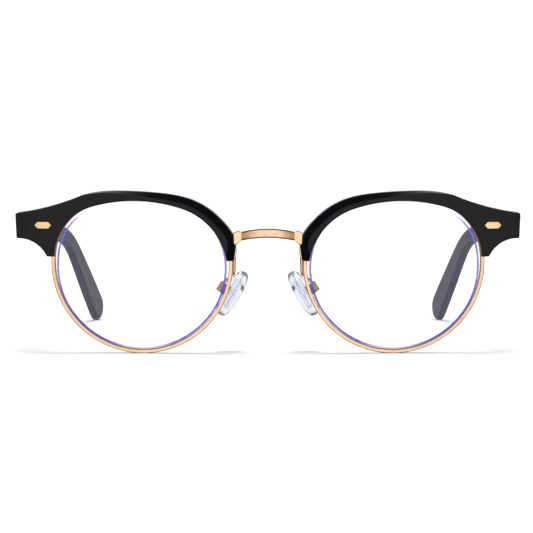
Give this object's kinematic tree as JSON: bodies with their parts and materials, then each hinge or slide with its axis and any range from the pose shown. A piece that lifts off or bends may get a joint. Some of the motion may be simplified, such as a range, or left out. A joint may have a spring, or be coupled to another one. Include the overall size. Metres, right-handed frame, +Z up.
{
  "type": "half rim eyeglasses",
  "caption": "Browline eyeglasses with round panto lenses, gold metal rims and bridge, plastic brows, folding temples and rocking nose pads.",
  "frame": {"origin": "centre of the bounding box's bottom face: on the table that the rims and the temple tips stand on, midway between the sides and between front and back", "axes": "+Z up, +X towards the wearer's left, the lenses face -Y and the temples run back along +Y"},
  "size_m": [0.1396, 0.1458, 0.0451],
  "materials": {
    "brow_acetate": "polished black acetate",
    "temple_acetate": "satin dark grey-violet acetate",
    "gold_metal": "pale rose-gold plate, polished",
    "screw_steel": "gold-washed steel",
    "core_steel": "bright drawn wire",
    "lens_clear": "clear with a blue-violet coating at the edge",
    "pad_silicone": "clear soft silicone",
    "pad_insert": "clear hard plastic"
  },
  "bodies": {
    "front": {"bridge": "gold_metal", "brow_left": "brow_acetate", "eyewire_left": "gold_metal", "lens_left": "lens_clear", "end_piece_left": "gold_metal", "rim_lock_left": "gold_metal", "rim_screw_left": "screw_steel", "brow_tab_left": "gold_metal", "brow_screws_left": "screw_steel", "plaque_left": "gold_metal", "hinge_screw_left": "screw_steel", "bridge_collar_left": "gold_metal", "pad_arm_left": "gold_metal", "pad_box_left": "gold_metal", "pad_screw_left": "screw_steel", "brow_right": "brow_acetate", "eyewire_right": "gold_metal", "lens_right": "lens_clear", "end_piece_right": "gold_metal", "rim_lock_right": "gold_metal", "rim_screw_right": "screw_steel", "brow_tab_right": "gold_metal", "brow_screws_right": "screw_steel", "plaque_right": "gold_metal", "hinge_screw_right": "screw_steel", "bridge_collar_right": "gold_metal", "pad_arm_right": "gold_metal", "pad_box_right": "gold_metal", "pad_screw_right": "screw_steel"},
    "temple_left": {"temple_left": "temple_acetate", "temple_core_left": "core_steel", "temple_hinge_left": "gold_metal", "temple_rivets_left": "gold_metal"},
    "pad_left": {"nose_pad_left": "pad_silicone", "pad_insert_left": "pad_insert"},
    "temple_right": {"temple_right": "temple_acetate", "temple_core_right": "core_steel", "temple_hinge_right": "gold_metal", "temple_rivets_right": "gold_metal"},
    "pad_right": {"nose_pad_right": "pad_silicone", "pad_insert_right": "pad_insert"}
  },
  "joints": [
    {"name": "temple_left_fold", "type": "hinge", "parent": "front", "child": "temple_left", "pos_m": [0.0646, -0.05968, 0.0352], "axis": [0, 0, 1], "range_deg": [0, 88]},
    {"name": "temple_right_fold", "type": "hinge", "parent": "front", "child": "temple_right", "pos_m": [-0.0646, -0.05968, 0.0352], "axis": [0, 0, -1], "range_deg": [0, 75]},
    {"name": "pad_left_rock", "type": "hinge", "parent": "front", "child": "pad_left", "pos_m": [0.012, -0.06318, 0.0176], "axis": [0.3486, 0.9135, 0.2095], "range_deg": [-10, 10]},
    {"name": "pad_right_rock", "type": "hinge", "parent": "front", "child": "pad_right", "pos_m": [-0.012, -0.06318, 0.0176], "axis": [-0.3486, 0.9135, 0.2095], "range_deg": [-10, 10]}
  ]
}
